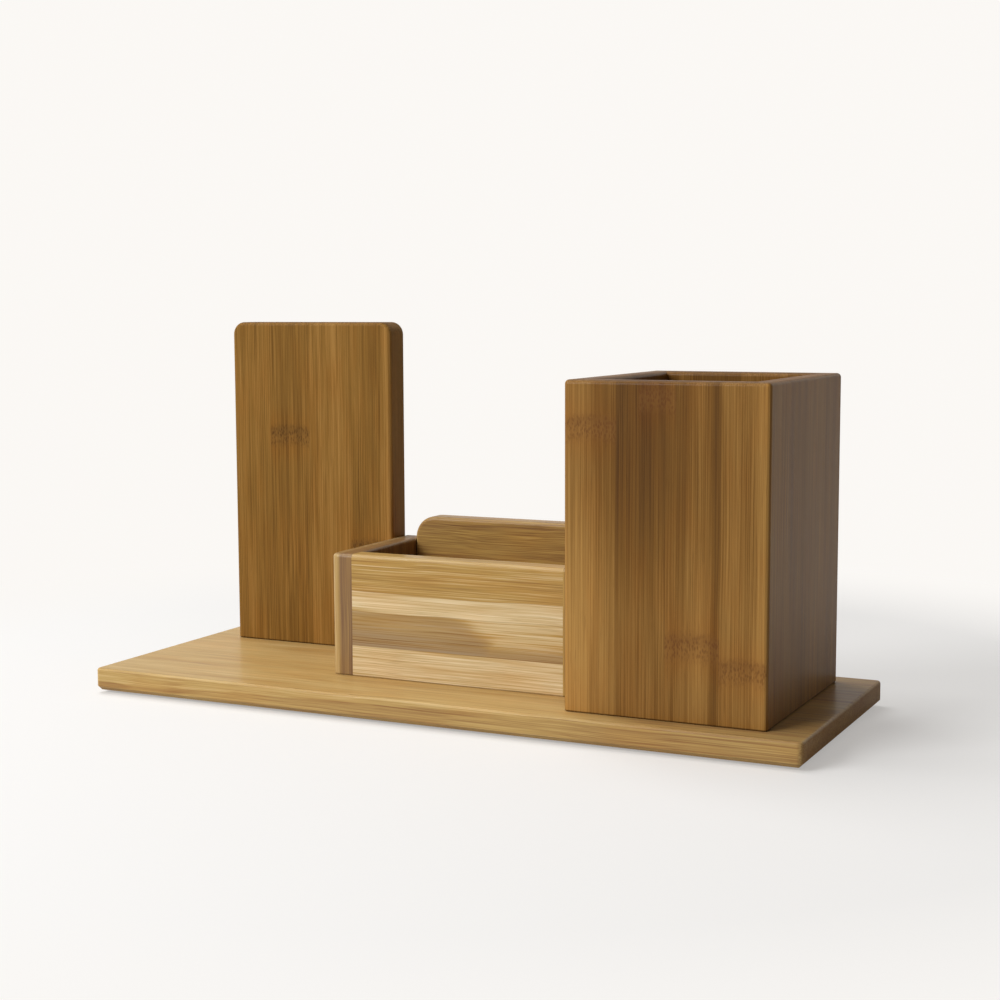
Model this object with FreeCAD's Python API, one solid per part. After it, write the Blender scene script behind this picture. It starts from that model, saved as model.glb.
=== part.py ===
import FreeCAD, Part
import math
import os

# Desk organizer in laminated bamboo. A long base plate carries three things side by side: an upright
# backrest that a phone leans on, a low open tray for notes or cards, and a tall square pen cup.
# The origin is the middle of the underside. X runs along the plate, the front faces -Y, and Z is up.
# Every length is in millimetres.

# Base plate
plate_length = 279.0
plate_depth = 104.0
plate_thickness = 8.5
plate_corner_radius = 2.0
plate_top_easing = 1.0
plate_bottom_easing = 1.5

# Margins of the plate that stay free at its two ends and along its back
end_margin = 14.5
rear_margin = 16.0

# Small chamfer round the foot of whatever stands on the plate, which leaves a thin shadow line
foot_easing = 0.4

# Phone backrest
backrest_width = 74.0
backrest_thickness = 12.0
backrest_height = 131.5
backrest_corner_radius = 5.0
backrest_easing = 1.5

# Tray
tray_depth = 59.0
tray_height = 46.0
tray_wall = 9.0
tray_back_rise = 9.0
tray_back_corner_radius = 8.5
tray_rim_easing = 1.5
tray_corner_easing = 3.0

# Pen cup
cup_width = 72.0
cup_depth = 86.0
cup_height = 113.3
cup_wall = 8.0
cup_rim_easing = 1.5
cup_corner_easing = 1.5

# Floor panels, whose tongues sit in grooves of the walls around them
floor_thickness = 5.0
floor_tongue_share = 0.5
floor_groove_share = 0.8
floor_swell_gap = 0.3

# Wood screws, driven up through the plate
screw_diameter = 3.0
screw_length = 20.0
screw_head_diameter = 6.0
screw_clearance = 0.1
screw_socket_width = 0.9
screw_socket_depth = 1.0
screw_socket_reach_share = 0.25
pilot_spare_depth = 1.0
backrest_screw_spacing = 44.0

# Splines: thin loose tongues that tie the corners of the tray and the cup together
spline_thickness = 1.6
spline_width = 6.0
spline_mitre_share = 0.42
spline_rim_margin = 12.0
spline_floor_margin = 3.0
spline_end_gap = 0.4

# Anti-slip pads
pad_diameter = 10.0
pad_thickness = 1.2
pad_inset = 14.0

# How far every cutting tool runs past the face it starts from
overrun = 1.0

# Places that follow from the sizes above
UP = FreeCAD.Vector(0, 0, 1)

plate_bottom = pad_thickness
plate_top = plate_bottom + plate_thickness
plate_right = plate_length / 2
plate_left = -plate_right
plate_back = plate_depth / 2
plate_front = -plate_back
rear_line = plate_back - rear_margin

backrest_left = plate_left + end_margin
backrest_right = backrest_left + backrest_width

cup_right_x = plate_right - end_margin
cup_left_x = cup_right_x - cup_width
cup_front_y = -cup_depth / 2
cup_back_y = cup_depth / 2
cup_top = plate_top + cup_height

tray_left_x = backrest_right
tray_right_x = cup_left_x
tray_back_y = rear_line
tray_front_y = tray_back_y - tray_depth
tray_top = plate_top + tray_height

screw_head_height = (screw_head_diameter - screw_diameter) / 2
pilot_depth = screw_length - plate_thickness + pilot_spare_depth
tongue_thickness = floor_thickness * floor_tongue_share


def block(x0, x1, y0, y1, z0, z1):
    """A box between two corners."""
    return Part.makeBox(x1 - x0, y1 - y0, z1 - z0, FreeCAD.Vector(x0, y0, z0))


def rod(radius, start, length):
    """An upright cylinder that stands on a point."""
    return Part.makeCylinder(radius, length, start, UP)


def same(a, b):
    return math.isclose(a, b, abs_tol=overrun / 1e4)


def edges_in_plane(shape, axis, place):
    """The edges that lie wholly in the plane where one coordinate has the given value."""
    found = []
    for edge in shape.Edges:
        points = edge.discretize(3)
        if all(same(getattr(point, axis), place) for point in points):
            found.append(edge)
    return found


def upright_edges(shape, x, y):
    """The straight vertical edges that stand at a place in plan."""
    found = []
    for edge in shape.Edges:
        points = edge.discretize(3)
        if all(same(point.x, x) and same(point.y, y) for point in points):
            found.append(edge)
    return found


def without(edges, axis, place):
    """Drops the edges that lie in a plane, such as a face that stands on another piece."""
    kept = []
    for edge in edges:
        points = edge.discretize(3)
        if not all(same(getattr(point, axis), place) for point in points):
            kept.append(edge)
    return kept


def countersink(x, y):
    """The seat of a screw head in the plate's underside, wider at the bottom."""
    seat = FreeCAD.Vector(x, y, plate_bottom)
    return Part.makeCone(screw_head_diameter / 2, screw_diameter / 2, screw_head_height, seat, UP)


def screw(x, y):
    """A countersunk wood screw with a cross socket, its head flush with the plate's underside."""
    start = FreeCAD.Vector(x, y, plate_bottom + screw_head_height)
    shank = rod(screw_diameter / 2, start, screw_length - screw_head_height)
    body = countersink(x, y).fuse(shank)
    reach = screw_head_diameter * screw_socket_reach_share
    half = screw_socket_width / 2
    low = plate_bottom - overrun
    high = plate_bottom + screw_socket_depth
    socket = block(x - reach, x + reach, y - half, y + half, low, high)
    socket = socket.fuse(block(x - half, x + half, y - reach, y + reach, low, high))
    return body.cut(socket)


def plate_hole(x, y):
    """The screw's clearance hole through the plate, with its countersink."""
    start = FreeCAD.Vector(x, y, plate_bottom - overrun)
    hole = rod(screw_diameter / 2 + screw_clearance, start, plate_thickness + 2 * overrun)
    return hole.fuse(countersink(x, y))


def pilot_hole(x, y):
    """The hole that a screw fills in the piece that stands on the plate."""
    start = FreeCAD.Vector(x, y, plate_top - overrun)
    return rod(screw_diameter / 2, start, pilot_depth + overrun)


def backrest_screw_places():
    middle = (backrest_left + backrest_right) / 2
    y = rear_line - backrest_thickness / 2
    return [(middle - backrest_screw_spacing / 2, y), (middle + backrest_screw_spacing / 2, y)]


def tray_screw_places():
    """One screw in the middle of each side panel."""
    y = (tray_front_y + tray_back_y) / 2
    return [(tray_left_x + tray_wall / 2, y), (tray_right_x - tray_wall / 2, y)]


def cup_screw_places():
    """One screw in the middle of each side wall."""
    y = (cup_front_y + cup_back_y) / 2
    return [(cup_left_x + cup_wall / 2, y), (cup_right_x - cup_wall / 2, y)]


def make_base_plate():
    plate = block(plate_left, plate_right, plate_front, plate_back, plate_bottom, plate_top)
    corners = []
    for x in (plate_left, plate_right):
        for y in (plate_front, plate_back):
            corners += upright_edges(plate, x, y)
    plate = plate.makeFillet(plate_corner_radius, corners)
    plate = plate.makeFillet(plate_top_easing, edges_in_plane(plate, "z", plate_top))
    plate = plate.makeChamfer(plate_bottom_easing, edges_in_plane(plate, "z", plate_bottom))
    for x, y in backrest_screw_places() + tray_screw_places() + cup_screw_places():
        plate = plate.cut(plate_hole(x, y))
    return plate


def make_phone_backrest():
    front = rear_line - backrest_thickness
    top = plate_top + backrest_height
    board = block(backrest_left, backrest_right, front, rear_line, plate_top, top)
    corners = []
    for edge in edges_in_plane(board, "z", top):
        if edges_in_plane(edge, "x", backrest_left) or edges_in_plane(edge, "x", backrest_right):
            corners.append(edge)
    board = board.makeFillet(backrest_corner_radius, corners)
    outline = edges_in_plane(board, "y", front) + edges_in_plane(board, "y", rear_line)
    board = board.makeFillet(backrest_easing, without(outline, "z", plate_top))
    board = board.makeChamfer(foot_easing, edges_in_plane(board, "z", plate_top))
    for x, y in backrest_screw_places():
        board = board.cut(pilot_hole(x, y))
    return board


def floor_groove(x0, x1, y0, y1, wall):
    """The groove that runs round the inside of a box's four walls for its floor's tongue."""
    depth = (wall - screw_diameter) / 2 * floor_groove_share
    high = plate_top + floor_thickness
    return block(x0 - depth, x1 + depth, y0 - depth, y1 + depth, high - tongue_thickness, high)


def make_floor(x0, x1, y0, y1, wall):
    """A floor panel whose upper half reaches into the walls and whose lower half fits between them."""
    depth = (wall - screw_diameter) / 2 * floor_groove_share - floor_swell_gap
    high = plate_top + floor_thickness
    low = high - tongue_thickness
    tongue = block(x0 - depth, x1 + depth, y0 - depth, y1 + depth, low, high)
    gap = floor_swell_gap
    lower = block(x0 + gap, x1 - gap, y0 + gap, y1 - gap, plate_top, low)
    return tongue.fuse(lower).removeSplitter()


def inner_faces(x0, x1, y0, y1, wall):
    """Where the inner faces of a box's four walls stand: left, right, front, back."""
    return (x0 + wall, x1 - wall, y0 + wall, y1 - wall)


def tray_inside():
    return inner_faces(tray_left_x, tray_right_x, tray_front_y, tray_back_y, tray_wall)


def spline_bar(angle, place, top, end_gap):
    """An upright spline across a joint. A slot for one is longer than the spline by the gap at each end."""
    half_thickness = spline_thickness / 2
    half_width = spline_width / 2 + end_gap
    low = plate_top + floor_thickness + spline_floor_margin - end_gap
    high = top - spline_rim_margin + end_gap
    bar = block(-half_thickness, half_thickness, -half_width, half_width, low, high)
    bar.rotate(FreeCAD.Vector(0, 0, 0), UP, angle)
    bar.translate(place)
    return bar


def tray_splines(end_gap):
    """The splines cross the four butt joints, in the middle of the front's and the back's thickness."""
    bars = []
    x0, x1 = tray_inside()[:2]
    for x in (x0, x1):
        for y in (tray_front_y + tray_wall / 2, tray_back_y - tray_wall / 2):
            bars.append(spline_bar(90, FreeCAD.Vector(x, y, 0), tray_top, end_gap))
    return bars


def tray_frame():
    """The tray's panels before they are parted, with rim, free corner and foot eased together."""
    x0, x1, y0, y1 = tray_inside()
    frame = block(tray_left_x, tray_right_x, tray_front_y, tray_back_y, plate_top, tray_top)
    frame = frame.makeFillet(tray_corner_easing, upright_edges(frame, tray_left_x, tray_front_y))
    frame = frame.makeChamfer(foot_easing, edges_in_plane(frame, "z", plate_top))
    frame = frame.cut(block(x0, x1, y0, y1, plate_top - overrun, tray_top + overrun))
    rim = without(edges_in_plane(frame, "z", tray_top), "x", tray_right_x)
    frame = frame.makeFillet(tray_rim_easing, rim)
    frame = frame.cut(floor_groove(x0, x1, y0, y1, tray_wall))
    for x, y in tray_screw_places():
        frame = frame.cut(pilot_hole(x, y))
    return frame


def make_tray_side(x0, x1):
    slab = block(x0, x1, tray_front_y, tray_back_y, plate_top, tray_top)
    return tray_frame().common(slab).cut(tray_splines(spline_end_gap))


def make_tray_front():
    x0, x1, y0 = tray_inside()[:3]
    panel = tray_frame().common(block(x0, x1, tray_front_y, y0, plate_top, tray_top))
    return panel.cut(tray_splines(spline_end_gap))


def make_tray_back():
    """The back panel stands above the rim, with large rounded top corners."""
    x0, x1, y0, y1 = tray_inside()
    top = tray_top + tray_back_rise
    panel = block(x0, x1, y1, tray_back_y, plate_top, top)
    corners = []
    for edge in edges_in_plane(panel, "z", top):
        if edges_in_plane(edge, "x", x0) or edges_in_plane(edge, "x", x1):
            corners.append(edge)
    panel = panel.makeFillet(tray_back_corner_radius, corners)
    crest = []
    for edge in edges_in_plane(panel, "y", y1) + edges_in_plane(panel, "y", tray_back_y):
        if edge.BoundBox.ZMin > tray_top and edge.BoundBox.ZMax > top - tray_back_corner_radius:
            crest.append(edge)
    panel = panel.makeFillet(tray_rim_easing, crest)
    foot = edges_in_plane(Part.makeCompound(edges_in_plane(panel, "z", plate_top)), "y", tray_back_y)
    panel = panel.makeChamfer(foot_easing, foot)
    panel = panel.cut(floor_groove(x0, x1, y0, y1, tray_wall))
    return panel.cut(tray_splines(spline_end_gap))


def cup_inside():
    return inner_faces(cup_left_x, cup_right_x, cup_front_y, cup_back_y, cup_wall)


def cup_tube():
    """The cup's four walls before they are parted at the mitres, with all arrises eased together."""
    x0, x1, y0, y1 = cup_inside()
    tube = block(cup_left_x, cup_right_x, cup_front_y, cup_back_y, plate_top, cup_top)
    corners = []
    for x in (cup_left_x, cup_right_x):
        for y in (cup_front_y, cup_back_y):
            corners += upright_edges(tube, x, y)
    tube = tube.makeFillet(cup_corner_easing, corners)
    tube = tube.makeChamfer(foot_easing, edges_in_plane(tube, "z", plate_top))
    tube = tube.cut(block(x0, x1, y0, y1, plate_top - overrun, cup_top + overrun))
    tube = tube.makeFillet(cup_rim_easing, edges_in_plane(tube, "z", cup_top))
    tube = tube.cut(floor_groove(x0, x1, y0, y1, cup_wall))
    for x, y in cup_screw_places():
        tube = tube.cut(pilot_hole(x, y))
    return tube


def cup_corners():
    """Each corner's inner point in plan, and the way its mitre runs outwards."""
    x0, x1, y0, y1 = cup_inside()
    corners = {}
    for name, x, y, dx, dy in (
        ("front_left", x0, y0, -1, -1),
        ("front_right", x1, y0, 1, -1),
        ("back_right", x1, y1, 1, 1),
        ("back_left", x0, y1, -1, 1),
    ):
        corners[name] = (FreeCAD.Vector(x, y, 0), FreeCAD.Vector(dx, dy, 0))
    return corners


def cup_splines(end_gap):
    """The splines cross the four mitres, nearer the inner corner, where the wood behind them is thickest."""
    bars = []
    for inner, outwards in cup_corners().values():
        angle = math.degrees(math.atan2(outwards.y, outwards.x))
        place = inner + outwards * cup_wall * spline_mitre_share
        bars.append(spline_bar(angle, place, cup_top, end_gap))
    return bars


def cup_wedge(names):
    """The prism between two mitres that holds one wall of the cup."""
    corners = cup_corners()
    points = []
    for name in names:
        inner, outwards = corners[name]
        points.append(inner + outwards * (cup_wall + overrun))
    for name in reversed(names):
        inner, outwards = corners[name]
        points.append(inner - outwards * overrun)
    points = [FreeCAD.Vector(point.x, point.y, plate_top - overrun) for point in points]
    outline = Part.Face(Part.makePolygon(points + [points[0]]))
    return outline.extrude(UP * (cup_height + 2 * overrun))


def make_cup_wall(*names):
    """The wall between two corners, named anticlockwise."""
    return cup_tube().common(cup_wedge(names)).cut(cup_splines(spline_end_gap))


def make_screws(places):
    return Part.makeCompound([screw(x, y) for x, y in places])


def make_foot_pads():
    pads = []
    for x in (plate_left + pad_inset, plate_right - pad_inset):
        for y in (plate_front + pad_inset, plate_back - pad_inset):
            pads.append(rod(pad_diameter / 2, FreeCAD.Vector(x, y, 0), pad_thickness))
    return Part.makeCompound(pads)


def make_pieces():
    tray_x0, tray_x1 = tray_inside()[:2]
    return {
        "base_plate": make_base_plate(),
        "phone_backrest": make_phone_backrest(),
        "tray_left_side": make_tray_side(tray_left_x, tray_x0),
        "tray_right_side": make_tray_side(tray_x1, tray_right_x),
        "tray_front": make_tray_front(),
        "tray_back": make_tray_back(),
        "tray_floor": make_floor(*tray_inside(), tray_wall),
        "cup_front": make_cup_wall("front_left", "front_right"),
        "cup_back": make_cup_wall("back_right", "back_left"),
        "cup_left": make_cup_wall("back_left", "front_left"),
        "cup_right": make_cup_wall("front_right", "back_right"),
        "cup_floor": make_floor(*cup_inside(), cup_wall),
        "tray_splines": Part.makeCompound(tray_splines(0)),
        "cup_splines": Part.makeCompound(cup_splines(0)),
        "backrest_screws": make_screws(backrest_screw_places()),
        "tray_screws": make_screws(tray_screw_places()),
        "cup_screws": make_screws(cup_screw_places()),
        "foot_pads": make_foot_pads(),
    }


os.makedirs("parts", exist_ok=True)
for node, shape in make_pieces().items():
    shape.exportStep(f"parts/{node}.step")
    print(node, len(shape.Solids), shape.isValid(), round(shape.Volume, 1))
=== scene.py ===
import math
from dataclasses import dataclass
from typing import NamedTuple

import bpy
from bpy.props import FloatProperty, FloatVectorProperty, PointerProperty
from mathutils import Matrix, Vector


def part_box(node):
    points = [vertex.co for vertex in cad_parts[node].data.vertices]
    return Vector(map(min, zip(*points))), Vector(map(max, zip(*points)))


bl_info = {
    "name": "Bamboo Desk Organizer",
    "version": (1, 0, 0),
    "blender": (4, 5, 0),
    "location": "View3D > Sidebar > Organizer",
    "description": "Finishes a desk organizer in laminated bamboo: plate, backrest, tray and pen cup",
    "category": "Material",
}

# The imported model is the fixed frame. Lengths are in metres unless a comment or a docstring says mm.
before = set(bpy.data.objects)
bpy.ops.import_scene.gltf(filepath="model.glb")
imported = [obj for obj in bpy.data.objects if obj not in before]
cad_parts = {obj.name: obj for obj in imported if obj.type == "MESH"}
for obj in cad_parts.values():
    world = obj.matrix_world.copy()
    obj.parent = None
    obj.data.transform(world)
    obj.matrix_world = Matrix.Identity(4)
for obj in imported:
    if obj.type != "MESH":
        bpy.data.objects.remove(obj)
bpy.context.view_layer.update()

MM = 0.001
AXES = {"x": 0, "y": 1, "z": 2}
# The tone of wood runs from 0 for dark to 1 for light.
MIDDLE_TONE = 0.5


def colour_setting(name, description, default):
    return FloatVectorProperty(
        name=name, description=description, default=default, subtype="COLOR", size=3, min=0.0, max=1.0
    )


def length_setting(name, description, default):
    return FloatProperty(name=name, description=description, default=default, unit="LENGTH")


def place_setting(name, description, default):
    return FloatVectorProperty(name=name, description=description, default=default, unit="LENGTH")


def share_setting(name, description, default):
    return FloatProperty(
        name=name, description=description, default=default, subtype="FACTOR", min=0.0, max=1.0
    )


def angle_setting(name, description, degrees):
    return FloatProperty(
        name=name, description=description, default=math.radians(degrees), subtype="ANGLE"
    )


def power_setting(name, description, default):
    return FloatProperty(name=name, description=description, default=default, unit="POWER")


class GrainSettings(bpy.types.PropertyGroup):
    """How the bamboo's fibres run, the same in every board."""

    fibre_length: length_setting("Fibre length", "How far a fibre line runs before it fades", 75 * MM)
    fibre_width: length_setting("Fibre width", "Width of the finest fibre lines", 0.4 * MM)
    streak_width: length_setting("Streak width", "Width of the streaks that fibres gather into", 1.3 * MM)
    band_width: length_setting("Band width", "Width of the broad, slow changes of tone", 4.5 * MM)
    vessel_length: length_setting("Vessel length", "Length of the short dark vessels", 12 * MM)
    vessel_width: length_setting("Vessel width", "Width of the short dark vessels", 0.52 * MM)
    wander: length_setting("Wander", "How far the grain strays to the side", 1.0 * MM)
    wave_length: length_setting("Wave length", "How far the grain runs between two bends", 45 * MM)
    wave_width: length_setting("Wave width", "How wide a stretch of the grain bends together", 18 * MM)
    figure_length: length_setting("Figure length", "Length of the faint clouds of tone", 22 * MM)
    figure_width: length_setting("Figure width", "Width of the faint clouds of tone", 5 * MM)
    blush_length: length_setting("Blush length", "Length of the warmer clouds", 30 * MM)
    blush_width: length_setting("Blush width", "Width of the warmer clouds", 7 * MM)
    blush: colour_setting("Blush", "Tint of the warmer clouds in the wood", (1.0, 0.86, 0.72))
    glue_line: length_setting("Glue line", "Width of the dark line between two strips", 0.3 * MM)
    bundle_width: length_setting("Bundle width", "Spacing of the fibre bundles in end grain", 0.9 * MM)
    bundle_length: length_setting("Bundle length", "How far a fibre bundle runs", 7.2 * MM)
    dash_length: length_setting("Dash length", "Length of the dashes in a cane joint's mark", 1.5 * MM)
    dash_width: length_setting("Dash width", "Width of the dashes in a cane joint's mark", 0.6 * MM)
    relief: length_setting("Relief", "Height of the fibres under the varnish", 0.03 * MM)


class DepthSettings(bpy.types.PropertyGroup):
    """How strongly each feature of the wood shows."""

    band: share_setting("Bands", "Depth of the broad changes of tone", 0.46)
    streak: share_setting("Streaks", "Depth of the streaks", 0.3)
    vessel: share_setting("Vessels", "Darkness of the short vessels", 0.22)
    blush: share_setting("Blush", "Strength of the warmer clouds", 0.4)
    glue_line: share_setting("Glue lines", "Darkness of the lines between the strips", 0.45)
    stain: share_setting("Stains", "How much darker the wood is in a grown-in stain", 0.38)
    halo: share_setting("Cane joint halo", "Warmth of the cloud round a cane joint's mark", 0.5)
    mark: share_setting("Cane joint", "Darkness of a cane joint's mark", 0.22)
    rim: share_setting("Cane joint rim", "Extra darkness of the mark's upper rim", 0.16)
    dash: share_setting("Cane joint dashes", "Darkness of the dashes in the mark", 0.48)
    gap: share_setting("Cane joint gaps", "Lightness of the wood between the dashes", 0.1)
    end: share_setting("End grain", "Darkness of the end grain", 0.5)
    bundle: share_setting("End grain bundles", "Extra darkness of the bundles in the end grain", 0.45)
    # Arrises: how strongly a highlight is painted on the eased edges
    arris: share_setting("Arrises", "Lightness of the eased edges, which hands have polished", 0.1)


class VarnishSettings(bpy.types.PropertyGroup):
    """The clear satin varnish over all the bamboo."""

    roughness: share_setting("Wood roughness", "Roughness of the wood under the varnish", 0.42)
    fibre_roughness: share_setting("Fibre roughness", "How far the fibres change it", 0.2)
    end_roughness: share_setting("End roughness", "How much rougher the end grain is", 0.14)
    arris_polish: share_setting("Arris polish", "How much smoother the eased edges are", 0.06)
    shine: share_setting("Wood shine", "Specular level of the wood under the varnish", 0.06)
    coat: share_setting("Varnish", "Weight of the varnish", 0.16)
    coat_roughness: share_setting("Varnish roughness", "Roughness of the varnish's own shine", 0.12)


class PlateSettings(bpy.types.PropertyGroup):
    """Colours of the base plate."""

    light: colour_setting("Light", "Pale fibres of the base plate", (0.68, 0.49, 0.23))
    middle: colour_setting("Middle", "Most of the base plate", (0.5, 0.325, 0.115))
    dark: colour_setting("Dark", "Dark streaks of the base plate", (0.27, 0.13, 0.05))
    stain: colour_setting("Stain", "Grown-in stains of the base plate", (0.3, 0.17, 0.08))


class BackrestSettings(bpy.types.PropertyGroup):
    """Colours of the backrest."""

    light: colour_setting("Light", "Pale fibres of the backrest", (0.39, 0.205, 0.056))
    middle: colour_setting("Middle", "Most of the backrest", (0.235, 0.118, 0.025))
    dark: colour_setting("Dark", "Dark streaks of the backrest", (0.1, 0.045, 0.01))
    stain: colour_setting("Stain", "Grown-in stains of the backrest", (0.05, 0.024, 0.008))


class TraySettings(bpy.types.PropertyGroup):
    """Colours of the tray's panels."""

    light: colour_setting("Light", "Pale fibres of the tray", (0.72, 0.565, 0.33))
    middle: colour_setting("Middle", "Most of the tray", (0.47, 0.287, 0.08))
    dark: colour_setting("Dark", "Dark streaks of the tray", (0.24, 0.125, 0.042))
    stain: colour_setting("Stain", "Grown-in stains of the tray", (0.36, 0.26, 0.15))


class CupSettings(bpy.types.PropertyGroup):
    """Colours of the cup's walls."""

    light: colour_setting("Light", "Pale fibres of the cup", (0.38, 0.2, 0.052))
    middle: colour_setting("Middle", "Most of the cup", (0.19, 0.087, 0.017))
    dark: colour_setting("Dark", "Dark streaks of the cup", (0.088, 0.037, 0.008))
    stain: colour_setting("Stain", "Grown-in stains of the cup", (0.125, 0.045, 0.012))


class FittingSettings(bpy.types.PropertyGroup):
    """Colours and textures of the screws, the splines and the anti-slip pads."""

    zinc: colour_setting("Zinc", "Plating of the screws", (0.62, 0.62, 0.6))
    ring_pitch: length_setting("Ring pitch", "Spacing of the turning rings along a screw", MM / 6)
    ring_spread: length_setting("Ring spread", "How far a turning ring keeps its depth", 5 * MM)
    spot: length_setting("Spots", "Size of the dull spots on the zinc", 0.8 * MM)
    raw_light: colour_setting("Raw light", "Pale fibres of the bare splines", (0.7, 0.52, 0.3))
    raw_dark: colour_setting("Raw dark", "Dark fibres of the bare splines", (0.48, 0.33, 0.17))
    raw_width: length_setting("Raw fibre width", "Width of the bare splines' fibres", MM / 2.2)
    raw_length: length_setting("Raw fibre length", "Length of the bare splines' fibres", 18 * MM / 2.2)
    rubber: colour_setting("Rubber", "The anti-slip pads", (0.035, 0.035, 0.036))
    pad_grain: length_setting("Pad grain", "Size of the grain moulded into the pads", 0.35 * MM)
    dust: length_setting("Dust", "Size of the patches of dust on the pads", 2.5 * MM)


class StageSettings(bpy.types.PropertyGroup):
    """The camera, the lights and the pale floor."""

    camera_place: place_setting("Camera", "Where the camera stands", (0.2909, -0.5855, 0.1481))
    camera_azimuth: angle_setting("Azimuth", "How far round to the right the camera stands", 25.751)
    camera_pitch: angle_setting("Pitch", "How far the camera looks down", 6.329)
    camera_roll: angle_setting("Roll", "The camera's tilt about its own axis", -0.218)
    lens: FloatProperty(
        name="Lens", description="Focal length in mm on a 36 mm sensor", default=63.539, unit="CAMERA"
    )
    key_place: place_setting("Key light", "Where the light in front stands", (-0.8, -1.25, 0.8))
    key_aim: place_setting("Key light aim", "Where the light in front points", (0.0, 0.0, 0.05))
    key_size: length_setting("Key light size", "Side of the square light in front", 0.9)
    key_power: power_setting("Key light power", "Power of the light in front", 23.0)
    top_place: place_setting("Top light", "Where the light above hangs", (-0.6, 0.1, 1.35))
    top_aim: place_setting("Top light aim", "Where the light above points", (0.0, 0.0, 0.0))
    top_size: length_setting("Top light size", "Side of the square light above", 1.0)
    top_power: power_setting("Top light power", "Power of the light above", 12.0)
    ambient: share_setting("Ambient", "Strength of the light that comes from all round", 0.11)
    backdrop_colour: colour_setting("Backdrop", "The white behind the object", (0.965, 0.94, 0.91))
    floor_colour: colour_setting("Floor colour", "The pale floor", (0.925, 0.92, 0.91))
    floor_radius: length_setting("Floor", "Radius of the floor", 3.0)
    floor_clear: length_setting("Floor clear", "Radius of the floor that keeps its colour", 0.15)
    floor_fade: length_setting("Floor fade", "Radius at which it has turned to the backdrop", 0.38)
    floor_glow: share_setting("Floor glow", "Share of the backdrop's white in the floor near by", 0.4)
    floor_bounce: share_setting("Floor bounce", "Light the floor throws back on the object", 0.62)


class Knuckle(NamedTuple):
    """The mark that one of the cane's joints leaves in a strip: its middle and its half sizes, in mm."""

    along: float
    across: float
    half_height: float
    half_width: float


class Stain(NamedTuple):
    """A grown-in stain: how far it runs from the board's low end, and its two sides, in mm."""

    end: float
    low: float
    high: float
    strength: float


class Shade(NamedTuple):
    """A soft dark band along the grain, in mm across the board. A depth below 0 makes it a light one."""

    middle: float
    half_width: float
    depth: float


@dataclass
class Board:
    """One piece of bamboo: its CAD node, the way its grain and its strips run, and what has grown in it.

    Places are in mm from the board's lowest corner. Edges are those between its strips, across the
    board, and tones are the strips' own. Edges above the first sway by so many mm. Plies are the same
    through the board's thickness, with a share of the full sway, and tilted by so many mm over its
    length. Painted light drifts say, for each strip, how much lighter it is painted at its low end than at
    its high end, as if lit from what it stands on. Length share and wander share shorten the fibre lines
    and straighten the grain. Figure, fineness and coarseness are the depth of the faint clouds, of the fine
    fibres and of the broad streaks. Veil is how far the stains' colour lies over the whole board. Shine and
    lustre are how much of the varnish's and of the wood's own shine it has. Foot is the depth of the
    painted shade, a dark line where the board stands.
    """

    node: str
    grain: str
    across: str
    edges: tuple
    tones: tuple
    ply_edges: tuple = ()
    ply_tones: tuple = ()
    knuckles: tuple = ()
    stains: tuple = ()
    shades: tuple = ()
    painted_light_drifts: tuple = ()
    sway: float = 0.0
    ply_sway: float = 0.0
    ply_tilt: float = 0.0
    length_share: float = 1.0
    wander_share: float = 1.0
    figure: float = 0.3
    fineness: float = 1.0
    coarseness: float = 1.0
    veil: float = 0.0
    shine: float = 1.0
    lustre: float = 1.0
    foot: float = 0.6
    seed: float = 0.0


class Value:
    """An output of a node. Arithmetic on it adds Math nodes, so that sums are written as sums."""

    def __init__(self, recipe, node, output=0):
        self.recipe = recipe
        self.node = node
        self.output = output

    @property
    def socket(self):
        return self.node.outputs[self.output]

    def other(self, output):
        """Another output of the same node."""
        return Value(self.recipe, self.node, output)

    def math(self, operation, *others):
        return self.recipe.math(operation, self, *others)

    def __add__(self, other):
        return self.recipe.math("ADD", self, other)

    def __radd__(self, other):
        return self.recipe.math("ADD", other, self)

    def __sub__(self, other):
        return self.recipe.math("SUBTRACT", self, other)

    def __rsub__(self, other):
        return self.recipe.math("SUBTRACT", other, self)

    def __mul__(self, other):
        return self.recipe.math("MULTIPLY", self, other)

    def __rmul__(self, other):
        return self.recipe.math("MULTIPLY", other, self)

    def __truediv__(self, other):
        return self.recipe.math("DIVIDE", self, other)

    def __rtruediv__(self, other):
        return self.recipe.math("DIVIDE", other, self)

    def __abs__(self):
        return self.recipe.math("ABSOLUTE", self)


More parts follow.
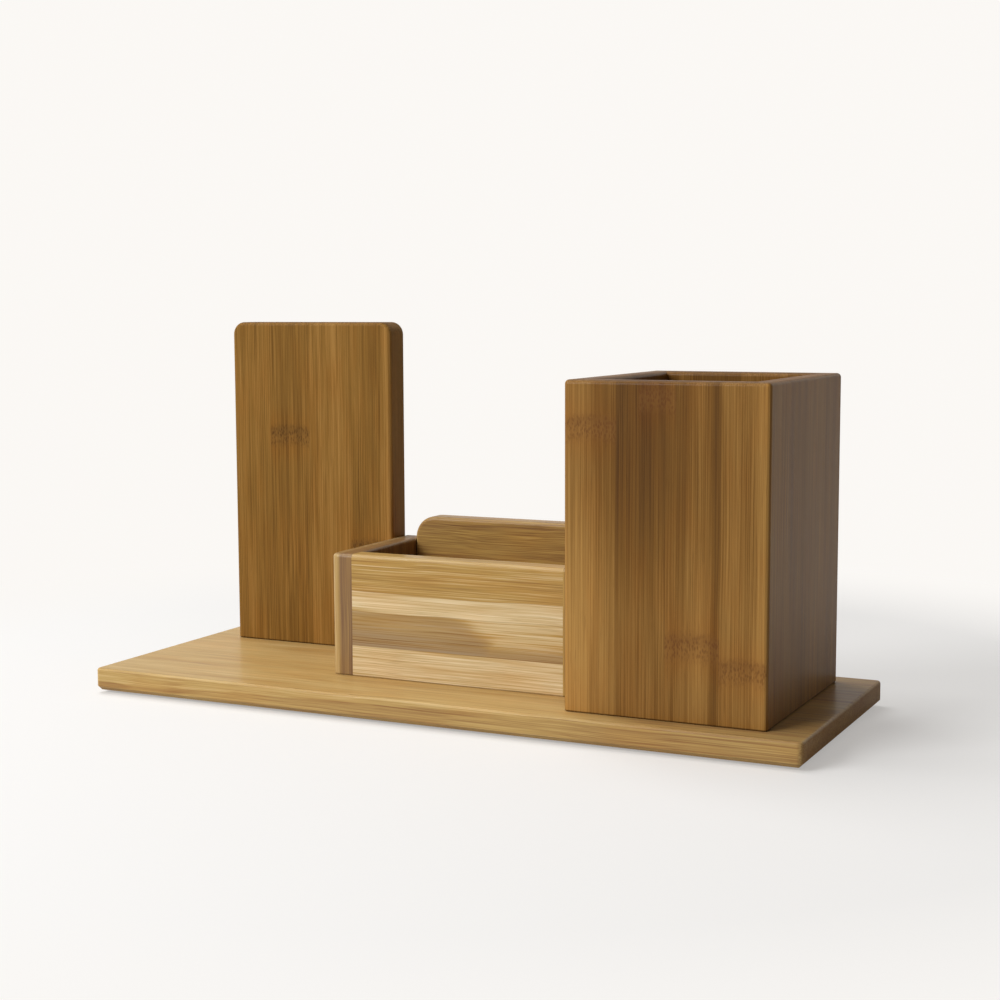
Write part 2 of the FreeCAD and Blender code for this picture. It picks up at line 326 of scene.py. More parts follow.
class Recipe:
    """The nodes of one material."""

    # The Mix node's sockets go by number, because it repeats their names for every kind of value.
    MIX_FACTOR = 0
    MIX_COLOURS = (6, 7)
    MIX_RESULT = 2

    def __init__(self, tree):
        self.tree = tree
        tree.nodes.clear()

    def node(self, kind, settings=None, inputs=None, output=0):
        """Adds a node: its settings first, then the values or links of its sockets."""
        made = self.tree.nodes.new(kind)
        for name, setting in (settings or {}).items():
            if name == "stops":
                self.set_stops(made.color_ramp, setting)
            else:
                setattr(made, name, setting)
        for name, value in (inputs or {}).items():
            if isinstance(value, Value):
                self.tree.links.new(value.socket, made.inputs[name])
            else:
                made.inputs[name].default_value = value
        return Value(self, made, output)

    @staticmethod
    def set_stops(ramp, stops):
        while len(ramp.elements) > 1:
            ramp.elements.remove(ramp.elements[-1])
        ramp.elements[0].position = stops[0][0]
        ramp.elements[0].color = (*stops[0][1], 1)
        for position, colour in stops[1:]:
            ramp.elements.new(position).color = (*colour, 1)

    def math(self, operation, *values):
        return self.node("ShaderNodeMath", {"operation": operation}, dict(enumerate(values)))

    def vector(self, x, y, z):
        return self.node("ShaderNodeCombineXYZ", None, {"X": x, "Y": y, "Z": z})

    def parts(self, vector):
        """The X, Y and Z of a vector, from one node."""
        split = self.node("ShaderNodeSeparateXYZ", None, {"Vector": vector})
        return [split.other(axis) for axis in AXES.values()]

    def place(self):
        """Where a point of the surface lies, in metres."""
        return self.node("ShaderNodeTexCoord", output="Object")

    def noise(self, vector, scale=1.0, detail=1.0):
        """Soft noise from 0 to 1, with features about one unit wide at a scale of 1."""
        return self.node(
            "ShaderNodeTexNoise", {"noise_dimensions": "3D"},
            {"Vector": vector, "Scale": scale, "Detail": detail},
        )

    def swing(self, vector, detail=1.0):
        """Soft noise about zero, from -0.5 to 0.5."""
        return self.noise(vector, detail=detail) - 0.5

    def cells(self, vector):
        """The distance to the nearest of the points strewn through space, about one in each unit cube."""
        return self.node(
            "ShaderNodeTexVoronoi", {"voronoi_dimensions": "3D", "feature": "F1"},
            {"Vector": vector, "Scale": 1.0}, output="Distance",
        )

    def smooth(self, value, low, high, start, end):
        """A smooth step from start to end while the value goes from low to high."""
        return self.node(
            "ShaderNodeMapRange", {"interpolation_type": "SMOOTHSTEP", "clamp": True},
            {"Value": value, "From Min": low, "From Max": high, "To Min": start, "To Max": end},
        )

    def rise(self, value, low, high):
        """0 up to low, 1 from high on."""
        return self.smooth(value, low, high, 0.0, 1.0)

    def fall(self, value, low, high, start=1.0):
        """The start up to low, 0 from high on."""
        return self.smooth(value, low, high, start, 0.0)

    def mix(self, factor, first, second, blend="MIX"):
        """Two colours mixed, or the first multiplied by the second."""
        inputs = {self.MIX_FACTOR: factor}
        for number, colour in zip(self.MIX_COLOURS, (first, second)):
            inputs[number] = colour if isinstance(colour, Value) else (*colour, 1)
        settings = {"data_type": "RGBA", "blend_type": blend, "clamp_factor": True}
        return self.node("ShaderNodeMix", settings, inputs, output=self.MIX_RESULT)

    def ramp(self, value, stops):
        return self.node("ShaderNodeValToRGB", {"stops": stops}, {"Fac": value})

    def bump(self, height, distance):
        return self.node("ShaderNodeBump", None, {"Height": height, "Distance": distance, "Strength": 1.0})

    def surface(self, **inputs):
        """Ends the recipe in a Principled shader. Underscores in a name stand for spaces."""
        sockets = {name.replace("_", " "): value for name, value in inputs.items()}
        shader = self.node("ShaderNodeBsdfPrincipled", None, sockets)
        self.node("ShaderNodeOutputMaterial", None, {"Surface": shader})


def new_material(name):
    material = bpy.data.materials.new(name)
    material.use_nodes = True
    return material, Recipe(material.node_tree)


def dress(node, material):
    """Gives a CAD node its material."""
    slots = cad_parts[node].data.materials
    slots.clear()
    slots.append(material)


def mm(length):
    """A length in metres, in mm."""
    return length / MM


def grey(tone):
    return (tone, tone, tone)


def dimmed(colour, share):
    return tuple(channel * share for channel in colour)


def strip_tone(recipe, place, width, edges, tones, blend):
    """The tone of the strip that a place lies in. The tones meet over the blend on both sides of an edge."""
    stops = [(0.0, grey(tones[0]))]
    for edge, tone, next_tone in zip(edges, tones, tones[1:]):
        stops.append(((edge - blend) / width, grey(tone)))
        stops.append(((edge + blend) / width, grey(next_tone)))
    return recipe.ramp(place / width, stops)


def beyond(colour, other, share):
    """The colour that lies past the first one, seen from the other."""
    return tuple(max(0.0, first + (first - second) * share) for first, second in zip(colour, other))


def wood_colour(recipe, tone, dark, middle, light):
    """Dark at a tone of 0, middle at half and light at 1, running on a little past both ends."""
    ramp_share = 0.7  # of the ramp, for the tones from 0 to 1
    spare = (1 - ramp_share) / 2
    past = spare / (ramp_share / 2)
    stops = (
        (0.0, beyond(dark, middle, past)),
        (spare, dark),
        (MIDDLE_TONE, middle),
        (1 - spare, light),
        (1.0, beyond(light, middle, past)),
    )
    return recipe.ramp(tone * ramp_share + spare, stops)


def glue_lines(recipe, place, edges, half_width):
    """1 on the thin lines between neighbouring strips, 0 elsewhere."""
    return sum(recipe.fall(abs(place - edge), 0.0, half_width) for edge in edges)


def knuckle_masks(recipe, along, across, knuckle):
    """A cane joint's mark, its darker upper rim and the warm cloud round it, in a strip of the board."""
    sag_share = 0.25  # of the half height, by which the mark hangs lower at its sides
    side_blend = 0.04  # of the half width
    # In half heights, from the mark's middle and, for the rim's fade, from the rim
    mark_fade = (0.2, 1.3)
    rim_level = 0.45
    rim_fade = (0.05, 0.6)
    halo_fade = (0.5, 3.2)
    aside = (across - knuckle.across) / knuckle.half_width
    sag = aside * aside * (knuckle.half_height * sag_share)
    level = (along - knuckle.along + sag) / knuckle.half_height
    inside = recipe.fall(abs(aside), 1 - side_blend, 1 + side_blend)
    mark = recipe.fall(abs(level), *mark_fade) * inside
    rim = recipe.fall(abs(level - rim_level), *rim_fade) * inside
    halo = recipe.fall(abs(level), *halo_fade) * inside
    return mark, rim, halo


def stain_mask(recipe, along, across, ragged, stain):
    """A grown-in stain with crisp long sides, deepest along the lower one, and a ragged slanting end."""
    low_blend, high_blend, end_blend = 0.15, 0.4, 7.0  # mm on both sides of the stain's edges
    slant, raggedness = 14.0, 16.0  # mm
    tail_fade, tail_depth = (0.15, 0.45), 0.75  # the low part that runs on to the board's high end
    low_strength, strength_loss = 1.35, 0.6
    lift = (across - stain.low) / (stain.high - stain.low)
    within = recipe.rise(across, stain.low - low_blend, stain.low + low_blend)
    within = within * recipe.fall(across, stain.high - high_blend, stain.high + high_blend)
    reach = along + lift * slant + ragged * raggedness
    body = recipe.fall(reach, stain.end - end_blend, stain.end + end_blend)
    tail = recipe.fall(lift, *tail_fade, tail_depth)
    return within * body.math("MAXIMUM", tail) * (stain.strength * (low_strength - lift * strength_loss))


class Wood:
    """The solid laminated bamboo of one board. Its places are in mm from the board's lowest corner."""

    # Steps into the noise that keep the kinds of line from lying on each other
    STREAK_STEP, FIBRE_STEP, VESSEL_STEP = 3.3, 6.6, 9.9
    # Half widths in mm over which neighbouring strips, plies and painted light drifts meet
    STRIP_BLEND, PLY_BLEND, DRIFT_BLEND = 0.2, 0.45, 1.0
    # How far above the lowest strip's edge the edges begin to sway, and sway in full, in mm
    SWAY_FADE = (1.0, 8.0)
    # The full swing, in mm, that the figure and the wave give to plies whose share of the sway is 1
    PLY_FIGURE, PLY_WAVE = 3.2, 2.5
    # Where smooth steps begin and end, on the noise, the cells, the run's share or the normal
    VESSEL_FADE = (0.1, 0.26)
    BLUSH_FADE = (-0.1, 0.2)
    DASH_FADE = (0.25, 0.6)
    BUNDLE_FADE = (0.2, 0.42)
    PAINTED_LIGHT_FADE = (0.25, 0.8)
    END_FADE = (0.55, 0.95)
    ARRIS_FADE = (0.85, 0.99)
    # The painted shade along the foot, a dark line: where it fades, in mm from the foot, and its share of the
    # dark colour
    FOOT_SHADE_FADE = (0.45, 0.75)
    FOOT_SHADE_SHARE = 0.3
    # How much of a stain shows, and how much more of it where the fibres are thick
    STAIN_SHOWS, STAIN_FIBRE = 0.4, 1.2
    # Shares of the relief
    FIBRE_HEIGHT, STREAK_HEIGHT, GLUE_LINE_DEPTH, VESSEL_DEPTH = 0.6, 0.5, 0.6, 0.4

    def __init__(self, board, colours):
        scene = bpy.context.scene
        self.grain, self.depth = scene.organizer_grain, scene.organizer_depth
        self.light, self.middle = tuple(colours.light), tuple(colours.middle)
        self.dark, self.stain = tuple(colours.dark), tuple(colours.stain)
        self.blush = tuple(self.grain.blush)
        self.board = board
        self.material, self.recipe = new_material(board.node + "_bamboo")
        self.measure()
        self.draw_lines()

    def measure(self):
        """Finds the places along, across and through the board, its end grain and its arrises."""
        recipe = self.recipe
        low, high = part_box(self.board.node)
        grain, side = AXES[self.board.grain], AXES[self.board.across]
        third = sum(AXES.values()) - grain - side
        places = [(place - edge) / MM for place, edge in zip(recipe.parts(recipe.place()), low)]
        sizes = [mm(far - near) for near, far in zip(low, high)]
        self.along, self.across, self.through = places[grain], places[side], places[third]
        self.run, self.width, self.thickness = sizes[grain], sizes[side], sizes[third]
        self.height = places[AXES["z"]]
        normal = recipe.parts(recipe.node("ShaderNodeTexCoord", output="Normal"))
        self.end_grain = recipe.rise(abs(normal[grain]), *self.END_FADE)
        x, y, z = (abs(part) for part in normal)
        squareness = x.math("MAXIMUM", y).math("MAXIMUM", z)
        self.arris = recipe.fall(squareness, *self.ARRIS_FADE)

    def draw_lines(self):
        """Bends the grain a little, and draws its bands, streaks, fibres, vessels and figure."""
        grain, board = self.grain, self.board
        wave_length, wave_width = mm(grain.wave_length), mm(grain.wave_width)
        waves = self.recipe.vector(
            self.along / wave_length + board.seed, self.across / wave_width, self.through / wave_width
        )
        self.wave = self.recipe.swing(waves)
        stray = self.wave * (2 * mm(grain.wander) * board.wander_share)
        self.bent = self.across + stray
        self.sunk = self.through + stray
        length = grain.fibre_length * board.length_share
        self.band = self.lines(grain.fibre_length, grain.band_width)
        self.streak = self.lines(length, grain.streak_width, self.STREAK_STEP)
        self.fibre = self.lines(length, grain.fibre_width, self.FIBRE_STEP)
        vessels = self.lines(grain.vessel_length, grain.vessel_width, self.VESSEL_STEP)
        self.vessels = self.recipe.rise(vessels, *self.VESSEL_FADE)
        self.figure = self.lines(grain.figure_length, grain.figure_width, detail=2.0)

    def lines(self, length, width, step=0.0, detail=1.0):
        """Noise from -0.5 to 0.5, drawn out along the bent grain."""
        start = self.board.seed + step
        drawn = self.recipe.vector(
            self.along / mm(length) + start, self.bent / mm(width), self.sunk / mm(width)
        )
        return self.recipe.swing(drawn, detail=detail)

    def strip_place(self):
        """The place across the strips, whose edges above the lowest one sway on some boards."""
        if not self.board.sway:
            return self.across
        lowest_edge = self.board.edges[0]
        begin, full = self.SWAY_FADE
        swaying = self.recipe.rise(self.across, lowest_edge + begin, lowest_edge + full)
        return self.across + self.wave * swaying * (2 * self.board.sway)

    def stained(self, strip_place):
        """How deeply each place is stained."""
        places = (self.along, strip_place, self.figure)
        return sum(stain_mask(self.recipe, *places, stain) for stain in self.board.stains)

    def tone(self, strip_place, stained):
        """How light the wood is, from 0 for dark to 1 for light."""
        recipe, board, depth = self.recipe, self.board, self.depth
        tone = strip_tone(recipe, strip_place, self.width, board.edges, board.tones, self.STRIP_BLEND)
        if board.ply_edges:
            sway = (self.figure * self.PLY_FIGURE + self.wave * self.PLY_WAVE) * board.ply_sway
            layer = self.through + sway - self.along / self.run * board.ply_tilt
            plies = (board.ply_edges, board.ply_tones)
            tone = tone + strip_tone(recipe, layer, self.thickness, *plies, self.PLY_BLEND) - MIDDLE_TONE
        if board.stains:
            tone = tone - stained * depth.stain
        for shade in board.shades:
            tone = tone - recipe.fall(abs(self.bent - shade.middle), 0.0, shade.half_width, shade.depth)
        coarse = (self.band * depth.band + self.streak * depth.streak) * board.coarseness
        tone = tone + coarse + self.fibre * board.fineness + self.figure * board.figure
        # Painted light: each strip is painted lighter towards the board's low end, as if lit from what it
        # stands on
        if board.painted_light_drifts:
            lowness = 0.5 - recipe.rise(self.along / self.run, *self.PAINTED_LIGHT_FADE)
            painted_light_drifts = (board.edges, board.painted_light_drifts)
            painted_light = strip_tone(recipe, self.across, self.width, *painted_light_drifts, self.DRIFT_BLEND)
            tone = tone + lowness * painted_light
        return tone

    def with_clouds(self, colour, stained):
        """Lays the warmer clouds, the veil and the stains over a colour."""
        recipe, board, grain = self.recipe, self.board, self.grain
        clouds = self.lines(grain.blush_length, grain.blush_width, detail=2.0)
        warmth = recipe.rise(clouds, *self.BLUSH_FADE) * self.depth.blush
        colour = recipe.mix(warmth, colour, self.blush, "MULTIPLY")
        if board.veil:
            colour = recipe.mix(board.veil, colour, self.stain)
        if board.stains:
            shown = stained * (self.STAIN_SHOWS + self.streak + self.fibre * self.STAIN_FIBRE)
            colour = recipe.mix(shown, colour, self.stain)
        return colour

    def with_knuckles(self, colour):
        """Lays the cane joints' marks over a colour: a warm cloud, a darker band and small dark dashes."""
        recipe, depth = self.recipe, self.depth
        length, width = mm(self.grain.dash_length), mm(self.grain.dash_width)
        cells = recipe.cells(recipe.vector(self.along / length, self.bent / width, self.sunk / width))
        dashes = recipe.fall(cells, *self.DASH_FADE)
        for knuckle in self.board.knuckles:
            mark, rim, halo = knuckle_masks(recipe, self.along, self.across, knuckle)
            colour = recipe.mix(halo * depth.halo, colour, self.blush, "MULTIPLY")
            colour = recipe.mix(mark * depth.mark + rim * depth.rim, colour, self.stain)
            colour = recipe.mix(mark * dashes * depth.dash, colour, self.stain)
            colour = recipe.mix(mark * (1 - dashes) * depth.gap, colour, self.light)
        return colour

    def with_ends(self, colour):
        """Darkens the end grain, more so at its fibre bundles, and paints a highlight on the arrises."""
        recipe, depth = self.recipe, self.depth
        width, length = mm(self.grain.bundle_width), mm(self.grain.bundle_length)
        cells = recipe.cells(recipe.vector(self.across / width, self.through / width, self.along / length))
        bundles = recipe.fall(cells, *self.BUNDLE_FADE)
        colour = recipe.mix(self.end_grain * (depth.end + bundles * depth.bundle), colour, self.dark)
        # A painted highlight on the eased edges
        return recipe.mix(self.arris * depth.arris, colour, self.light)

    def finish(self):
        """Lays the colours over each other, adds the varnish and dresses the board."""
        recipe, board, depth = self.recipe, self.board, self.depth
        varnish = bpy.context.scene.organizer_varnish
        strip_place = self.strip_place()
        stained = self.stained(strip_place)
        seams = glue_lines(recipe, strip_place, board.edges, mm(self.grain.glue_line) / 2)
        tone = self.tone(strip_place, stained)
        colour = wood_colour(recipe, tone, self.dark, self.middle, self.light)
        colour = self.with_clouds(colour, stained)
        colour = recipe.mix(self.vessels * depth.vessel, colour, self.dark)
        if board.knuckles:
            colour = self.with_knuckles(colour)
        colour = recipe.mix(seams * depth.glue_line, colour, self.dark)
        colour = self.with_ends(colour)
        # Painted shade: a dark line low on the board, where it stands
        if board.foot:
            foot = recipe.fall(self.height, *self.FOOT_SHADE_FADE, board.foot)
            colour = recipe.mix(foot, colour, dimmed(self.dark, self.FOOT_SHADE_SHARE))
        rough = varnish.roughness + self.fibre * varnish.fibre_roughness
        rough = rough + self.end_grain * varnish.end_roughness - self.arris * varnish.arris_polish
        raised = self.fibre * self.FIBRE_HEIGHT + self.streak * self.STREAK_HEIGHT
        raised = raised - seams * self.GLUE_LINE_DEPTH - self.vessels * self.VESSEL_DEPTH
        recipe.surface(
            Base_Color=colour,
            Roughness=rough,
            Specular_IOR_Level=varnish.shine * board.lustre,
            Coat_Weight=varnish.coat * board.shine,
            Coat_Roughness=varnish.coat_roughness,
            Normal=recipe.bump(raised, self.grain.relief),
        )
        dress(board.node, self.material)


PLATE = Board(
    "base_plate", "x", "y",
    edges=(20.0, 41.0, 62.0, 82.0), tones=(0.58, 0.52, 0.6, 0.5, 0.56),
    ply_edges=(3.3,), ply_tones=(0.25, 0.52), ply_sway=0.5, ply_tilt=6.5,
    wander_share=0.8, length_share=0.6, figure=0.12, foot=0.0, shine=0.6, lustre=0.8, seed=1.0,
)

BACKREST = Board(
    "phone_backrest", "z", "x",
    edges=(18.0, 36.5, 55.0), tones=(0.5, 0.4, 0.6, 0.46),
    knuckles=(Knuckle(86.0, 27.0, 4.6, 9.2), Knuckle(41.0, 64.0, 4.4, 9.0)),
    # The light band is painted light on the backrest's narrow right side
    shades=(Shade(74.0, 6.0, -0.4),),
    wander_share=0.5, figure=0.15, shine=0.15, lustre=0.4, seed=2.0,
)

TRAY_BOARDS = (
    Board(
        "tray_front", "x", "z",
        edges=(11.7, 24.8, 32.2), tones=(0.86, 0.72, 0.88, 0.5), sway=1.6,
        shades=(Shade(35.0, 5.0, 0.1),),
        stains=(Stain(60.0, 11.7, 24.8, 1.0),),
        length_share=0.6, wander_share=0.5, figure=0.1, fineness=1.1, foot=0.2, seed=3.0,
    ),
    Board(
        "tray_back", "x", "z",
        edges=(19.0, 38.0), tones=(0.26, 0.34, 0.24),
        length_share=0.4, figure=0.2, foot=0.2, seed=4.0,
    ),
    Board(
        "tray_left_side", "z", "y",
        edges=(20.0, 40.0), tones=(0.32, 0.36, 0.42),
        # The light outer ply paints a highlight on the panel's outer side and rounded front edge, and the
        # dark inner ply paints shade on its inner side and in its joint with the front panel
        ply_edges=(3.6, 8.5), ply_tones=(0.76, 0.18, 0.0),
        wander_share=0.6, figure=0.15, veil=0.25, foot=0.2, seed=5.0,
    ),
    Board(
        "tray_right_side", "z", "y",
        edges=(19.0, 38.0), tones=(0.42, 0.5, 0.4),
        foot=0.2, seed=6.0,
    ),
    Board("tray_floor", "x", "y", edges=(22.0,), tones=(0.5, 0.42), foot=0.0, seed=7.0),
)

CUP_WALL = {"wander_share": 0.3, "figure": 0.1, "coarseness": 0.65, "fineness": 0.85, "shine": 0.5}
CUP_BOARDS = (
    Board(
        "cup_front", "z", "x",
        # Its drifts are painted light, brighter towards the wall's foot
        edges=(18.5, 36.0, 54.9), tones=(0.65, 0.42, 0.5, 0.66), painted_light_drifts=(0.3, 0.42, 0.26, 0.08),
        knuckles=(Knuckle(97.6, 9.2, 5.0, 9.4), Knuckle(107.5, 33.0, 5.0, 6.5),
                  Knuckle(26.0, 45.5, 5.4, 9.5), Knuckle(19.0, 63.5, 4.8, 8.6)),
        shades=(Shade(2.0, 14.0, -0.26), Shade(17.5, 4.5, 0.08), Shade(47.5, 5.5, -0.22),
                Shade(53.4, 2.2, 0.22), Shade(58.5, 4.0, -0.06), Shade(70.0, 5.0, -0.24)),
        seed=8.0, **CUP_WALL,
    ),
    Board(
        "cup_back", "z", "x",
        edges=(18.0, 36.0, 54.0), tones=(0.5, 0.38, 0.6, 0.44),
        knuckles=(Knuckle(74.0, 27.0, 4.6, 9.0), Knuckle(31.0, 63.0, 4.4, 9.0)),
        seed=9.0, **CUP_WALL,
    ),
    Board(
        "cup_left", "z", "y",
        edges=(21.0, 43.0, 64.5), tones=(0.44, 0.58, 0.4, 0.52),
        knuckles=(Knuckle(58.0, 53.7, 4.6, 10.7),),
        seed=10.0, **CUP_WALL,
    ),
    Board(
        "cup_right", "z", "y",
        # Its strips' tones are a little lighter than the other walls': painted light on the cup's shaded
        # right side
        edges=(21.5, 43.0, 65.0), tones=(0.62, 0.54, 0.66, 0.58),
        wander_share=0.3, figure=0.1, coarseness=0.9, fineness=0.95, shine=0.28, lustre=0.9, seed=11.0,
    ),
    Board("cup_floor", "y", "x", edges=(18.0, 37.0), tones=(0.5, 0.4, 0.55), foot=0.0, seed=12.0),
)


def raw_wood(fittings):
    """Unvarnished wood of the splines: fine upright grain, no shine."""
    dark_at, light_at = 0.3, 0.7
    roughness, fibre_roughness = 0.62, 0.2
    relief = 0.05 * MM
    material, recipe = new_material("raw_wood")
    x, y, z = recipe.parts(recipe.place())
    width, length = fittings.raw_width, fittings.raw_length
    fibre = recipe.noise(recipe.vector(x / width, y / width, z / length), detail=2.0)
    stops = ((dark_at, tuple(fittings.raw_dark)), (light_at, tuple(fittings.raw_light)))
    recipe.surface(
        Base_Color=recipe.ramp(fibre, stops),
        Roughness=roughness + fibre * fibre_roughness,
        Normal=recipe.bump(fibre, relief),
    )
    return material


def zinc_plate(fittings):
    """Bright zinc plating with faint turning rings and small dull spots."""
    spot_fade, spot_depth, spot_share = (0.55, 0.7), 0.5, 0.7
    roughness, ring_roughness, spot_roughness = 0.26, 0.12, 0.15
    relief = 0.01 * MM
    material, recipe = new_material("zinc_plate")
    place = recipe.place()
    x, y, z = recipe.parts(place)
    spread, pitch = fittings.ring_spread, fittings.ring_pitch
    rings = recipe.noise(recipe.vector(x / spread, y / spread, z / pitch))
    spots = recipe.rise(recipe.noise(place, 1 / fittings.spot, detail=2.0), *spot_fade)
    zinc = tuple(fittings.zinc)
    recipe.surface(
        Base_Color=recipe.mix(spots * spot_depth, zinc, dimmed(zinc, spot_share)),
        Metallic=1.0,
        Roughness=roughness + rings * ring_roughness + spots * spot_roughness,
        Normal=recipe.bump(rings, relief),
    )
    return material


def pad_rubber(fittings):
    """Matte black rubber with a fine moulded grain and patches of dust."""
    dust_fade, dust_depth, dust_paleness = (0.45, 0.75), 0.6, 0.05
    roughness, grain_roughness = 0.7, 0.2
    relief = 0.04 * MM
    material, recipe = new_material("pad_rubber")
    place = recipe.place()
    grain = recipe.noise(place, 1 / fittings.pad_grain, detail=2.0)
    dust = recipe.rise(recipe.noise(place, 1 / fittings.dust, detail=3.0), *dust_fade)
    rubber = tuple(fittings.rubber)
    dusty = tuple(channel + dust_paleness for channel in rubber)
    recipe.surface(
        Base_Color=recipe.mix(dust * dust_depth, rubber, dusty),
        Roughness=roughness + grain * grain_roughness,
        Normal=recipe.bump(grain, relief),
    )
    return material


def seen_rays(recipe, *more):
    """Two values: 1 for the camera's rays, and 1 for those, for reflected rays and for any more kinds."""
    path = recipe.node("ShaderNodeLightPath", output="Is Camera Ray")
    seen = path
    for kind in ("Is Glossy Ray", *more):
        seen = seen.math("MAXIMUM", path.other(kind))
    return path, seen


def floor_material(stage):
    """The pale floor near the object, which runs out into the backdrop's own white.

    What it throws back on the object is less than what the camera sees, as on a shaded desk.
    """
    mottle_scale, mottle_depth, mottle_share = 14.0, 0.1, 0.97
    roughness = 0.8
    material, recipe = new_material("pale_floor")
    place = recipe.place()
    distance = recipe.node("ShaderNodeVectorMath", {"operation": "LENGTH"}, {0: place}, output="Value")
    camera, seen = seen_rays(recipe)
    far = recipe.rise(distance, stage.floor_clear, stage.floor_fade) * seen
    white = far.math("MAXIMUM", camera * stage.floor_glow)
    mottle = recipe.noise(place, mottle_scale, detail=2.0)
    pale = tuple(stage.floor_colour)
    colour = recipe.mix(mottle * mottle_depth, pale, dimmed(pale, mottle_share))
    colour = recipe.mix(seen, grey(stage.floor_bounce), colour)
    matte = recipe.node("ShaderNodeBsdfPrincipled", None, {"Base Color": colour, "Roughness": roughness})
    glow = recipe.node("ShaderNodeEmission", None, {"Color": (*stage.backdrop_colour, 1), "Strength": 1.0})
    shader = recipe.node("ShaderNodeMixShader", None, {0: white, 1: matte, 2: glow})
    recipe.node("ShaderNodeOutputMaterial", None, {"Surface": shader})
    return material


def light_world(stage):
    """White for what the camera and shiny surfaces see, and an even, weaker light for the rest."""
    world = bpy.data.worlds.new("studio")
    world.use_nodes = True
    recipe = Recipe(world.node_tree)
    _, seen = seen_rays(recipe, "Is Transmission Ray")
    even = recipe.node("ShaderNodeBackground", None, {"Color": (1, 1, 1, 1), "Strength": stage.ambient})
    backdrop = (*stage.backdrop_colour, 1)
    white = recipe.node("ShaderNodeBackground", None, {"Color": backdrop, "Strength": 1.0})
    shader = recipe.node("ShaderNodeMixShader", None, {0: seen, 1: even, 2: white})
    recipe.node("ShaderNodeOutputWorld", None, {"Surface": shader})
    bpy.context.scene.world = world


def lay_floor(stage):
    """A large disc under the object."""
    sides = 96
    turns = [math.tau * k / sides for k in range(sides)]
    ring = [(stage.floor_radius * math.cos(turn), stage.floor_radius * math.sin(turn), 0.0) for turn in turns]
    mesh = bpy.data.meshes.new("floor")
    mesh.from_pydata(ring, [], [list(range(sides))])
    mesh.materials.append(floor_material(stage))
    floor = bpy.data.objects.new("floor", mesh)
    bpy.context.scene.collection.objects.link(floor)


def soft_light(name, place, aim, size, power):
    """A square lamp that looks from its place to its aim."""
    lamp = bpy.data.lights.new(name, "AREA")
    lamp.shape = "SQUARE"
    lamp.size = size
    lamp.energy = power
    light = bpy.data.objects.new(name, lamp)
    light.location = place
    light.rotation_euler = (Vector(aim) - Vector(place)).to_track_quat("-Z", "Y").to_euler()
    bpy.context.scene.collection.objects.link(light)


def place_camera(stage):
    """Stands the camera at the photograph's viewing angle."""
    sensor_width = 36.0  # mm
    near_limit = 10 * MM
    azimuth, pitch, roll = stage.camera_azimuth, stage.camera_pitch, stage.camera_roll
    level = Vector((-math.sin(azimuth), math.cos(azimuth), 0.0))
    forward = math.cos(pitch) * level + Vector((0.0, 0.0, -math.sin(pitch)))
    right = Vector((math.cos(azimuth), math.sin(azimuth), 0.0))
    up = right.cross(forward)
    image_right = math.cos(roll) * right + math.sin(roll) * up
    image_up = math.cos(roll) * up - math.sin(roll) * right
    turn = Matrix((image_right, image_up, -forward)).transposed()
    lens = bpy.data.cameras.new("camera")
    lens.lens = stage.lens
    lens.sensor_width = sensor_width
    lens.sensor_fit = "HORIZONTAL"
    lens.clip_start = near_limit
    camera = bpy.data.objects.new("camera", lens)
    camera.matrix_world = Matrix.Translation(Vector(stage.camera_place)) @ turn.to_4x4()
    bpy.context.scene.collection.objects.link(camera)
    bpy.context.scene.camera = camera


class ORGANIZER_OT_stage(bpy.types.Operator):
    """Sets up the pale floor, the white backdrop, the soft lights and the camera"""

    bl_idname = "organizer.stage"
    bl_label = "Stage"

    def execute(self, context):
        stage = context.scene.organizer_stage
        context.scene.view_settings.view_transform = "Standard"
        lay_floor(stage)
        light_world(stage)
        soft_light("key", stage.key_place, stage.key_aim, stage.key_size, stage.key_power)
        soft_light("top", stage.top_place, stage.top_aim, stage.top_size, stage.top_power)
        place_camera(stage)
        return {"FINISHED"}


class ORGANIZER_OT_plate(bpy.types.Operator):
    """Finishes the base plate in varnished bamboo"""

    bl_idname = "organizer.plate"
    bl_label = "Base plate"

    def execute(self, context):
        Wood(PLATE, context.scene.organizer_plate).finish()
        return {"FINISHED"}


class ORGANIZER_OT_backrest(bpy.types.Operator):
    """Finishes the backrest in varnished bamboo"""

    bl_idname = "organizer.backrest"
    bl_label = "Backrest"

    def execute(self, context):
        Wood(BACKREST, context.scene.organizer_backrest).finish()
        return {"FINISHED"}


class ORGANIZER_OT_tray(bpy.types.Operator):
    """Finishes the tray's four panels and its floor"""

    bl_idname = "organizer.tray"
    bl_label = "Tray"

    def execute(self, context):
        for board in TRAY_BOARDS:
            Wood(board, context.scene.organizer_tray).finish()
        return {"FINISHED"}


class ORGANIZER_OT_cup(bpy.types.Operator):
    """Finishes the cup's four walls and its floor"""

    bl_idname = "organizer.cup"
    bl_label = "Pen cup"

    def execute(self, context):
        for board in CUP_BOARDS:
            Wood(board, context.scene.organizer_cup).finish()
        return {"FINISHED"}


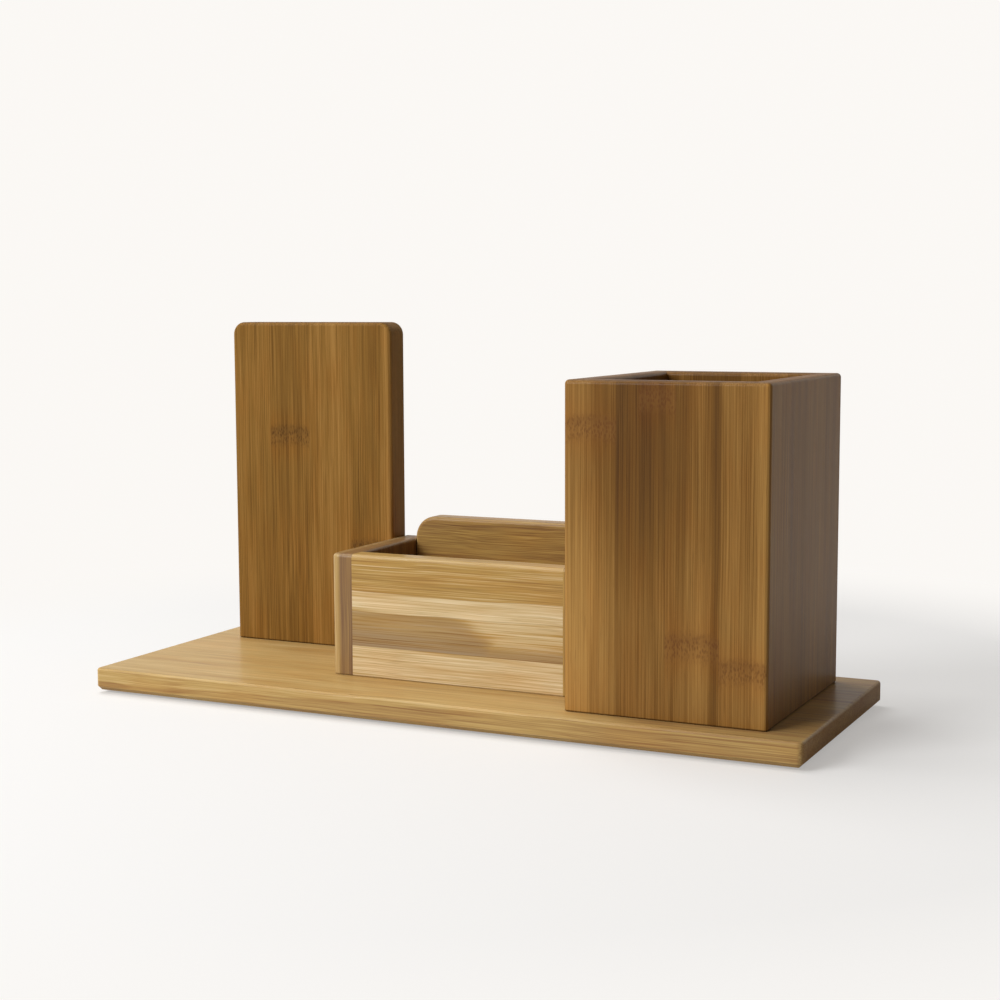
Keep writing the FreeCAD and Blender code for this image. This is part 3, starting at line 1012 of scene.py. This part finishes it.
class ORGANIZER_OT_fittings(bpy.types.Operator):
    """Finishes the splines, the screws and the anti-slip pads"""

    bl_idname = "organizer.fittings"
    bl_label = "Splines, screws and pads"

    def execute(self, context):
        fittings = context.scene.organizer_fittings
        wood, zinc, rubber = raw_wood(fittings), zinc_plate(fittings), pad_rubber(fittings)
        for node in ("tray_splines", "cup_splines"):
            dress(node, wood)
        for node in ("backrest_screws", "tray_screws", "cup_screws"):
            dress(node, zinc)
        dress("foot_pads", rubber)
        return {"FINISHED"}


class ORGANIZER_PT_sidebar(bpy.types.Panel):
    """Lists the organizer's pieces in the 3D view's sidebar"""

    bl_idname = "ORGANIZER_PT_sidebar"
    bl_label = "Desk organizer"
    bl_space_type = "VIEW_3D"
    bl_region_type = "UI"
    bl_category = "Organizer"

    def draw(self, context):
        for operator in OPERATORS:
            self.layout.operator(operator.bl_idname)


SETTINGS = {
    "organizer_grain": GrainSettings,
    "organizer_depth": DepthSettings,
    "organizer_varnish": VarnishSettings,
    "organizer_plate": PlateSettings,
    "organizer_backrest": BackrestSettings,
    "organizer_tray": TraySettings,
    "organizer_cup": CupSettings,
    "organizer_fittings": FittingSettings,
    "organizer_stage": StageSettings,
}
OPERATORS = (
    ORGANIZER_OT_stage,
    ORGANIZER_OT_plate,
    ORGANIZER_OT_backrest,
    ORGANIZER_OT_tray,
    ORGANIZER_OT_cup,
    ORGANIZER_OT_fittings,
)


def register():
    for name, settings in SETTINGS.items():
        bpy.utils.register_class(settings)
        setattr(bpy.types.Scene, name, PointerProperty(type=settings))
    for kind in (*OPERATORS, ORGANIZER_PT_sidebar):
        bpy.utils.register_class(kind)


def unregister():
    for kind in reversed((*OPERATORS, ORGANIZER_PT_sidebar)):
        bpy.utils.unregister_class(kind)
    for name, settings in reversed(SETTINGS.items()):
        delattr(bpy.types.Scene, name)
        bpy.utils.unregister_class(settings)


def main():
    register()
    bpy.ops.organizer.stage()
    bpy.ops.organizer.plate()
    bpy.ops.organizer.backrest()
    bpy.ops.organizer.tray()
    bpy.ops.organizer.cup()
    bpy.ops.organizer.fittings()


if __name__ == "__main__":
    main()
